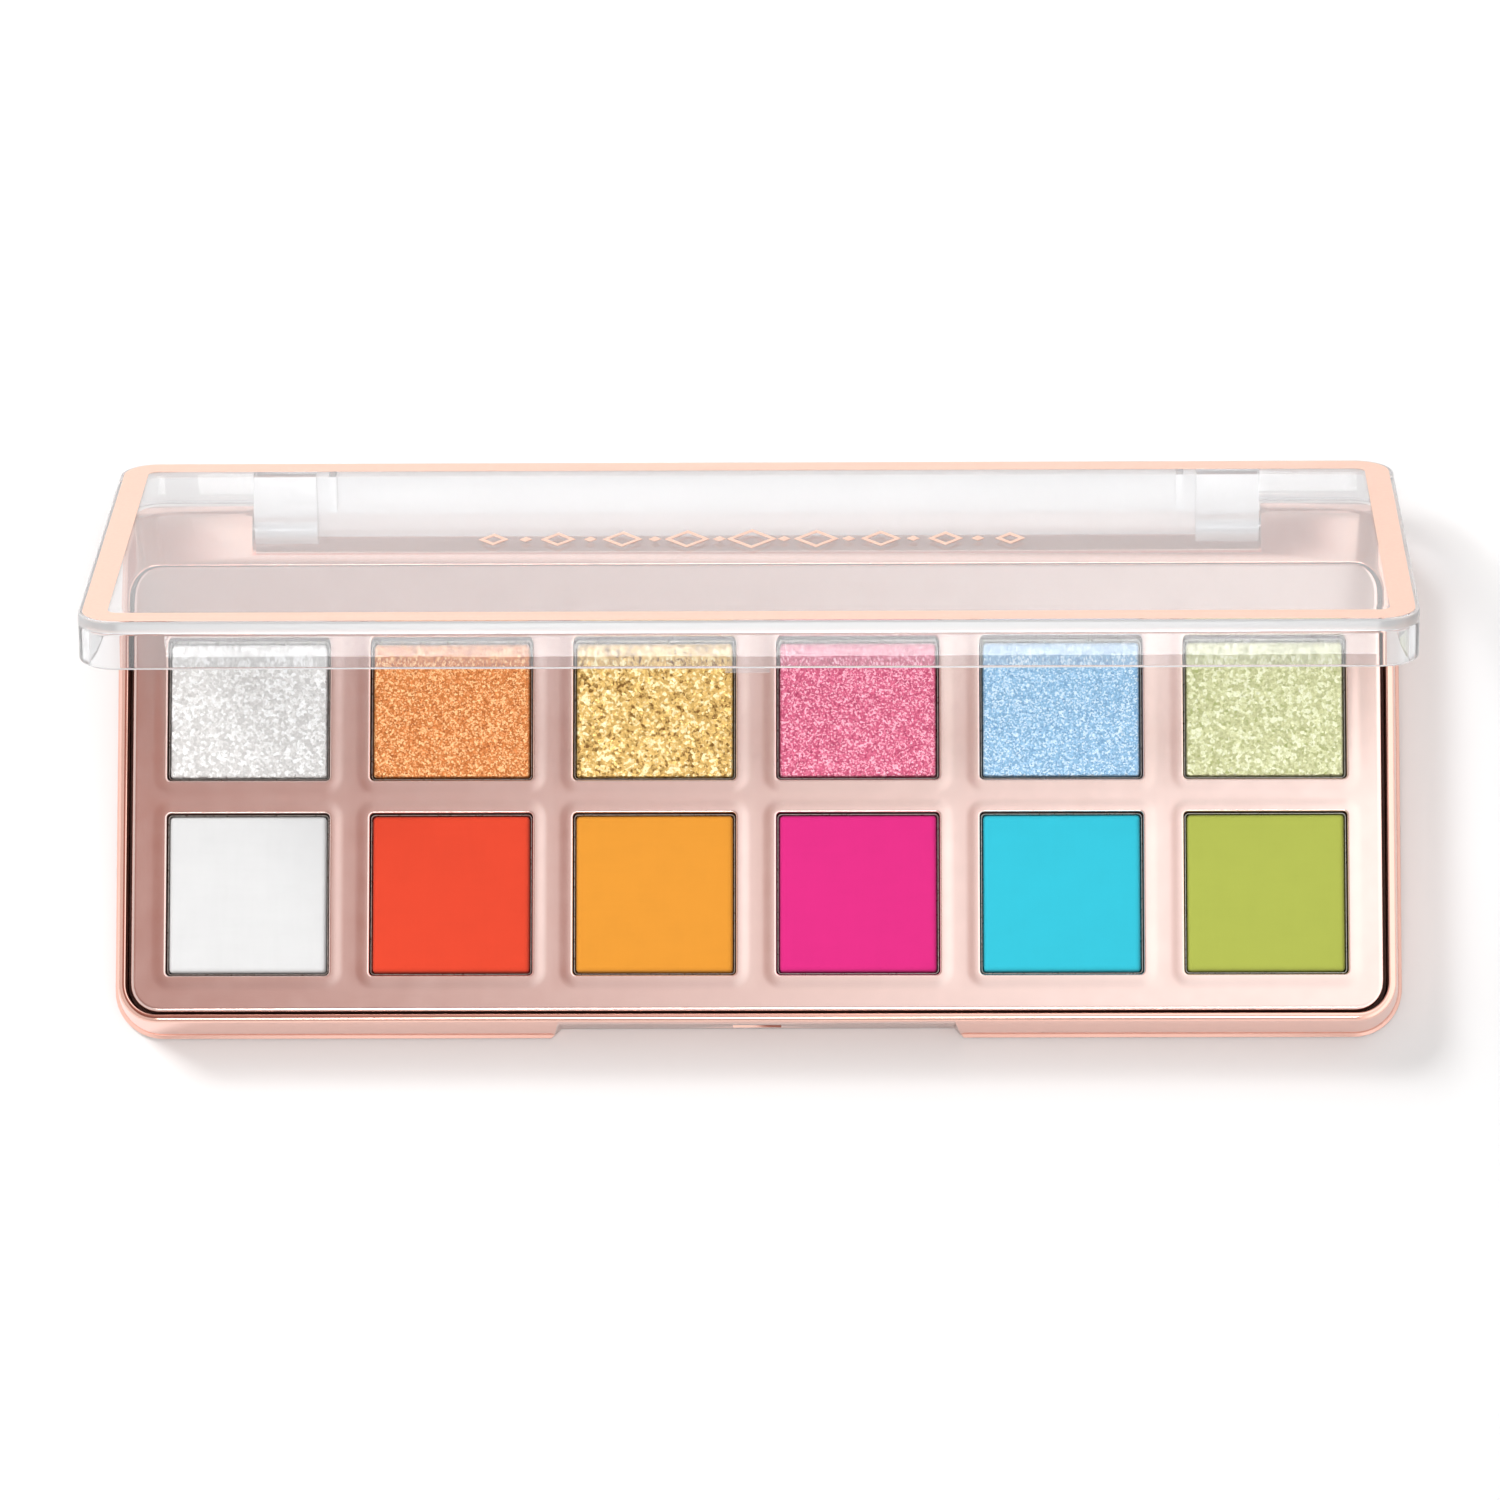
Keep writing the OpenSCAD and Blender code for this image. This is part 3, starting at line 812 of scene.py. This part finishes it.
def powder_point(u, v, half, corner):
    """A point of a grid from -1 to 1 laid onto a square with round corners."""
    x, y = u * half, v * half
    over_x, over_y = abs(x) - (half - corner), abs(y) - (half - corner)
    if over_x > 0 and over_y > 0:
        pull = max(over_x, over_y) / math.hypot(over_x, over_y)
        x = math.copysign(half - corner + over_x * pull, x)
        y = math.copysign(half - corner + over_y * pull, y)
    return x, y


def build_powder(name, looks, cells, coarse, fine, seed):
    """A cake of pressed powder: a fine top surface with a soft edge, closed down to the pan."""
    low, high = (Vector(corner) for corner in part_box(name))
    middle = (low + high) / 2
    half = (high.x - low.x) / 2 + looks.spill
    corner = looks.pan_corner - looks.tin + looks.spill
    build = bmesh.new()
    grid = []
    for row in range(cells + 1):
        line = []
        for column in range(cells + 1):
            u, v = 2 * column / cells - 1, 2 * row / cells - 1
            x, y = powder_point(u, v, half, corner)
            inward = (1 - max(abs(u), abs(v))) * half
            share = min(inward / looks.edge, 1)
            drop = looks.edge * (1 - math.sqrt(max(0, 1 - (1 - share) ** 2)))
            height = surface_height(x + middle.x, y + middle.y, coarse, fine, seed)
            height *= min(1, inward / (0.5 * MM))
            line.append(build.verts.new((middle.x + x, middle.y + y, high.z - drop + height)))
        grid.append(line)
    fill_grid(build, grid)
    right, left = [line[-1] for line in grid[1:]], [line[0] for line in grid[-2:0:-1]]
    edge = grid[0] + right + grid[-1][-2::-1] + left
    foot = [build.verts.new((vertex.co.x, vertex.co.y, low.z)) for vertex in edge]
    bridge(build, foot, edge)
    build.faces.new(foot)
    return finish_mesh(build, name + "_cake", 60)


# Each shimmer: body, lightest flake, darkest grain, whether coarse, share of metal, depth of its pits
SHIMMERS = (
    (linear(216, 214, 212), linear(240, 240, 240), linear(200, 198, 196), True, 0.15, 0.1),
    (linear(226, 133, 64), linear(255, 204, 146), linear(164, 78, 26), False, 0.5, 0.05),
    (linear(238, 194, 110), linear(255, 242, 190), linear(132, 90, 32), True, 0.5, 0.24),
    (linear(222, 94, 132), linear(255, 190, 208), linear(168, 42, 86), False, 0.4, 0.05),
    (linear(143, 190, 226), linear(218, 236, 248), linear(100, 150, 202), False, 0.3, 0.05),
    (linear(206, 208, 156), linear(236, 238, 204), linear(166, 174, 110), True, 0.2, 0.12),
)
MATTES = (
    linear(199, 199, 199), linear(206, 63, 38), linear(210, 138, 44),
    linear(203, 36, 118), linear(44, 176, 196), linear(160, 168, 73),
)


class PALETTE_OT_pans(bpy.types.Operator):
    """Build the twelve tinplate pans"""
    bl_idname = "palette.pans"
    bl_label = "Pans"

    def execute(self, context):
        looks = context.scene.palette_powders
        material = tinplate()
        for row in ROWS:
            for column in COLUMNS:
                build_pan(f"pan_{row}_{column}", looks, material)
        return {"FINISHED"}


class PALETTE_OT_shimmers(bpy.types.Operator):
    """Build the top row of shimmering powders"""
    bl_idname = "palette.shimmers"
    bl_label = "Shimmers"

    def execute(self, context):
        looks = context.scene.palette_powders
        for column, (body, light, dark, coarse, metal, pits) in zip(COLUMNS, SHIMMERS):
            name = f"powder_top_{column}"
            rough = 0.06 * MM if coarse else 0.025 * MM
            cake = build_powder(name, looks, looks.shimmer_cells, rough * (1 + pits), rough, column * 7.0)
            flake = looks.coarse_flake if coarse else looks.flake
            cake.data.materials.append(shimmer(f"shimmer_{column}", body, light, dark, flake, metal, pits))
            place(cake, "root", name, name)
        return {"FINISHED"}


class PALETTE_OT_mattes(bpy.types.Operator):
    """Build the bottom row of matte powders"""
    bl_idname = "palette.mattes"
    bl_label = "Mattes"

    def execute(self, context):
        looks = context.scene.palette_powders
        for column, body in zip(COLUMNS, MATTES):
            name = f"powder_bottom_{column}"
            cake = build_powder(name, looks, looks.matte_cells, 0.012 * MM, 0.006 * MM, column * 11.0)
            cake.data.materials.append(matte_powder(f"matte_{column}", body))
            place(cake, "root", name, name)
        return {"FINISHED"}


# ---------------------------------------------------------------- lid

def lid_rings(lid, case):
    """Rings of the shut lid: ceiling, down the inner wall, round the edge and up over the top."""
    reach = 6 * MM
    ceiling = LID_HIGH.z - lid.plate
    path = rounded_path(
        [(-reach, ceiling), (-lid.wall, ceiling), (-lid.wall, TRAY_TOP), (0, TRAY_TOP),
            (0, LID_HIGH.z), (-reach, LID_HIGH.z)],
        [lid.inner_round, 0.12 * MM, lid.foot_round, lid.edge_round], 6)
    # One more ring where the plate's edge begins
    upper = next(index for index, (out, z) in enumerate(path) if z > ceiling and out > -lid.wall / 2)
    path.insert(upper, Vector((0, ceiling)))
    return [
        ring(-CASE_HALF - out, CASE_FRONT - out, CASE_HALF + out, CASE_BACK + out,
            max(case.corner + out, 0.3 * MM), z, 14)
        for out, z in path
    ]


def lid_additions(lid, case):
    """What is moulded onto the lid's walls: lugs, curtain, ribs and snap tab."""
    roof = LID_HIGH.z - lid.plate + 0.5 * MM - PIN.z
    behind = CASE_BACK - PIN.y
    parting = TRAY_TOP - PIN.z
    inside = behind - lid.wall / 2
    lug = [(inside, 0), (inside, roof), (-lid.lug_radius, roof)] + arc(lid.lug_radius, 180, 360)
    curtain = [(behind - lid.wall, -lid.curtain), (behind, -lid.curtain), (behind, parting + 0.3 * MM),
        (behind - lid.wall, parting + 0.3 * MM)]
    rib = [(inside, parting), (inside, roof), (-lid.lug_radius, roof), (-lid.lug_radius, parting)]
    half = lid.lug_width / 2
    pieces = []
    for side in (-1, 1):
        pieces.append(extruded("lug", lug, side * lid.lug_x - half, side * lid.lug_x + half))
        near = lid.lug_x - half - lid.rib_gap
        pieces.append(extruded("rib", rib, *sorted((side * near, side * (near - lid.rib)))))
    curtain_half = lid.lug_x + half - 0.02 * MM
    pieces.append(extruded("curtain", curtain, -curtain_half, curtain_half))
    middle = CASE_FRONT + case.rim + case.groove / 2
    tab_half = lid.tab_thickness / 2
    pieces.append(block("tab", (-lid.tab / 2, middle - tab_half, TRAY_TOP - lid.tab_drop),
        (lid.tab / 2, middle + tab_half, TRAY_TOP + 0.5 * MM)))
    return pieces


def is_frosted(face, lid):
    """Whether a face of the shut lid is unpolished: the plate's edge, the walls' foot, the hinge."""
    x, y, z = face.center
    ceiling = LID_HIGH.z - lid.plate
    on_edge = z > ceiling + 0.05 * MM and face.normal.z < 0.95
    on_foot = face.normal.z < -0.15 and abs(z - TRAY_TOP) < lid.foot_round
    behind_deck = PIN.y - lid.lug_radius - 0.1 * MM < y < CASE_BACK - 0.1 * MM
    by_hinge = behind_deck and z < ceiling and abs(x) < lid.lug_x + lid.lug_width
    return on_edge or on_foot or by_hinge


class PALETTE_OT_lid(bpy.types.Operator):
    """Build the clear lid with its lugs, curtain, ribs and snap tab"""
    bl_idname = "palette.lid"
    bl_label = "Lid"

    def execute(self, context):
        lid, case = context.scene.palette_lid, context.scene.palette_case
        build = bmesh.new()
        loft(build, lid_rings(lid, case))
        shell = finish_mesh(build, "lid")
        combine(shell, lid_additions(lid, case), "UNION")
        near, far = lid.lug_x - lid.lug_width, lid.lug_x + lid.lug_width
        bore = arc(lid.bore, 0, 352.5, 47)
        bores = [extruded("bore", bore, -far, -near), extruded("bore", bore, near, far)]
        combine(shell, bores, "DIFFERENCE")
        shade(shell, 35)
        shell.data.materials.append(clear_plastic("clear_plastic", lid.tint, lid.haze))
        shell.data.materials.append(clear_plastic("frosted_edge", lid.tint, lid.edge_haze, 0.18))
        for face in shell.data.polygons:
            face.material_index = int(is_frosted(face, lid))
        shell.data.transform(OPENED)
        place(shell, "lid", "clear_plastic", "lid_shell")
        return {"FINISHED"}


class PALETTE_OT_trim(bpy.types.Operator):
    """Finish the printed lines, the pins, the glue and the label"""
    bl_idname = "palette.trim"
    bl_label = "Trim"

    def execute(self, context):
        print_ink = ink(context.scene.palette_lid.print_colour)
        dress("lid_border_print", print_ink)
        dress("lid_ornament_print", print_ink)
        steel = plain_finish(
            "pin_steel", linear(170, 170, 172), linear(206, 206, 208), 3000, 0.25, 1.0, (0.1, 1, 1))
        dress("hinge_pin_left", steel)
        dress("hinge_pin_right", steel)
        glue = plain_finish("hot_melt", linear(228, 216, 186), linear(242, 234, 210), 700, 0.4)
        dress("pan_glue", glue)
        paper = plain_finish("label_paper", linear(236, 235, 231), linear(248, 247, 244), 1800, 0.85)
        dress("base_label", paper)
        return {"FINISHED"}


# ---------------------------------------------------------------- stage

FLOOR_HALF = 2.5
FLOOR_DROP = 0.0001
CARD_HALF = 0.8
CARD_BACK = 0.9
CARD_HEIGHT = 1.7
KEY_PLACE = (-0.78, 0.68, 1.1)
FILL_PLACE = (0, 0, 1.62)
# The front light faces the raised lid's front wall, which mirrors its edge to the camera
FRONT_PLACE = (-0.02, -0.877, 1.226)
FRONT_TARGET = (-0.02, 0.006, 0.061)
CAMERA_TARGET = Vector((-0.00072, 0.00166, TRAY_TOP))


def light(name, place_at, target, size, power, mirrored=True):
    """A soft square light aimed at a point. Unless mirrored, metal and the lid don't show it."""
    data = bpy.data.lights.new(name, "AREA")
    data.shape = "SQUARE"
    data.size = size
    data.energy = power
    lamp = bpy.data.objects.new(name, data)
    lamp.visible_glossy = mirrored
    lamp.visible_transmission = mirrored
    lamp.location = place_at
    lamp.rotation_euler = (Vector(target) - Vector(place_at)).to_track_quat("-Z", "Y").to_euler()
    bpy.context.scene.collection.objects.link(lamp)


def sheet(name, low, high, z, material):
    """A flat gridded sheet of the stage."""
    cells = 8
    build = bmesh.new()
    shares = [step / cells for step in range(cells + 1)]
    columns = [low[0] + (high[0] - low[0]) * share for share in shares]
    rows = [low[1] + (high[1] - low[1]) * share for share in shares]
    fill_grid(build, [[build.verts.new((x, y, z)) for x in columns] for y in rows])
    piece = finish_mesh(build, name)
    piece.data.materials.append(material)


def card_material(brightness):
    """The overhead card: dim and warm at the left, bright and cool at the right, brighter at the back."""
    material, tree = new_material("card")
    source = add(tree, "ShaderNodeTexCoord")
    parts = add(tree, "ShaderNodeSeparateXYZ", {0: source.outputs["Object"]})
    level = ramp(tree, spread(tree, parts.outputs["X"], -0.24, 0.2), [
        (0.0, (0.25, 0.13, 0.11)), (0.25, (0.34, 0.23, 0.21)), (0.5, (0.66, 0.6, 0.6)),
        (0.75, (0.84, 0.94, 0.98)), (1.0, (0.92, 1.0, 1.0)),
    ])
    backward = spread(tree, parts.outputs["Y"], -0.18, 0.22, 0.75, 1.2)
    power = maths(tree, "MULTIPLY", backward, brightness * 1.5)
    glow = add(tree, "ShaderNodeEmission", {"Color": level, "Strength": power})
    return surfaced(material, glow)


def light_world(stage):
    """Even surroundings, which glossy finishes mirror dimmest ahead and brightest at the right."""
    world = bpy.data.worlds.new("studio")
    bpy.context.scene.world = world
    world.use_nodes = True
    tree = world.node_tree
    source = add(tree, "ShaderNodeTexCoord")
    parts = add(tree, "ShaderNodeSeparateXYZ", {0: source.outputs["Generated"]})
    across = parts.outputs["X"]
    leftward = spread(tree, across, -0.4, 0.0, stage.mirror_left, stage.mirror_front)
    rightward = spread(tree, across, 0.0, 0.4, 0.0, stage.mirror_right - stage.mirror_front)
    level = maths(tree, "ADD", leftward, rightward)
    rays = add(tree, "ShaderNodeLightPath")
    strength = add(tree, "ShaderNodeMix", {
        "Factor": rays.outputs["Is Glossy Ray"], "A": stage.world, "B": level,
    })
    background = tree.nodes["Background"]
    background.inputs["Color"].default_value = (1, 1, 1, 1)
    tree.links.new(strength.outputs[0], background.inputs["Strength"])


def floor_material(rgb):
    """Plain pale floor with a trace of grain."""
    material, tree = new_material("floor")
    grain = noise_field(tree, 25, 2)
    return principled(material, {
        "Base Color": ramp(tree, grain, [(0.2, shaded(rgb, 0.995)), (0.8, rgb)]), "Roughness": 0.95,
        "Specular IOR Level": 0.1,
    })


def aim_camera(stage):
    """The camera above the palette, leaning towards its front and a little to the right."""
    tilt = math.radians(stage.tilt)
    lean = Vector((0, -math.sin(tilt), math.cos(tilt))) * stage.distance
    place_at = CAMERA_TARGET + lean + Vector((stage.aside, 0, 0))
    data = bpy.data.cameras.new("camera")
    data.lens = stage.lens
    data.sensor_width = 36
    data.clip_start = 0.01
    data.clip_end = 50
    camera = bpy.data.objects.new("camera", data)
    forward = (CAMERA_TARGET - place_at).normalized()
    right = forward.cross(Vector((0, 1, 0))).normalized()
    up = right.cross(forward)
    camera.matrix_world = Matrix.Translation(place_at) @ Matrix((right, up, -forward)).transposed().to_4x4()
    bpy.context.scene.collection.objects.link(camera)
    bpy.context.scene.camera = camera


class PALETTE_OT_stage(bpy.types.Operator):
    """Set up the floor, the soft lights and the camera"""
    bl_idname = "palette.stage"
    bl_label = "Stage"

    def execute(self, context):
        stage = context.scene.palette_stage
        context.scene.view_settings.view_transform = "Standard"
        context.scene.cycles.max_bounces = 24
        context.scene.cycles.transmission_bounces = 24
        light_world(stage)
        sheet("floor", (-FLOOR_HALF, -FLOOR_HALF), (FLOOR_HALF, FLOOR_HALF), -FLOOR_DROP,
            floor_material(stage.floor_colour))
        sheet("card", (-CARD_HALF, -CARD_HALF), (CARD_HALF, CARD_BACK), CARD_HEIGHT,
            card_material(stage.card))
        light("key", KEY_PLACE, (0, 0, 0), 0.45, stage.key, False)
        light("fill", FILL_PLACE, (0, 0, 0), 1.2, stage.fill, False)
        light("front", FRONT_PLACE, FRONT_TARGET, 0.36, stage.front)
        aim_camera(stage)
        return {"FINISHED"}


# ---------------------------------------------------------------- panel and main

OPERATORS = (
    PALETTE_OT_stage, PALETTE_OT_tray, PALETTE_OT_deck, PALETTE_OT_pans,
    PALETTE_OT_shimmers, PALETTE_OT_mattes, PALETTE_OT_lid, PALETTE_OT_trim,
)


class PALETTE_PT_panel(bpy.types.Panel):
    """Lists the palette's pieces and their settings"""
    bl_label = "Palette"
    bl_idname = "PALETTE_PT_panel"
    bl_space_type = "VIEW_3D"
    bl_region_type = "UI"
    bl_category = "Palette"

    def draw(self, context):
        for group in GROUPS:
            settings = getattr(context.scene, group)
            for key in settings.bl_rna.properties.keys():
                if key not in ("rna_type", "name"):
                    self.layout.prop(settings, key)
        for operator in OPERATORS:
            self.layout.operator(operator.bl_idname)


CLASSES = (*GROUPS.values(), *OPERATORS, PALETTE_PT_panel)


def register():
    for cls in CLASSES:
        bpy.utils.register_class(cls)
    for name, group in GROUPS.items():
        setattr(bpy.types.Scene, name, PointerProperty(type=group))


def unregister():
    for name in GROUPS:
        delattr(bpy.types.Scene, name)
    for cls in reversed(CLASSES):
        bpy.utils.unregister_class(cls)


def main():
    """Builds everything."""
    register()
    for name in ("stage", "tray", "deck", "pans", "shimmers", "mattes", "lid", "trim"):
        getattr(bpy.ops.palette, name)()


if __name__ == "__main__":
    main()
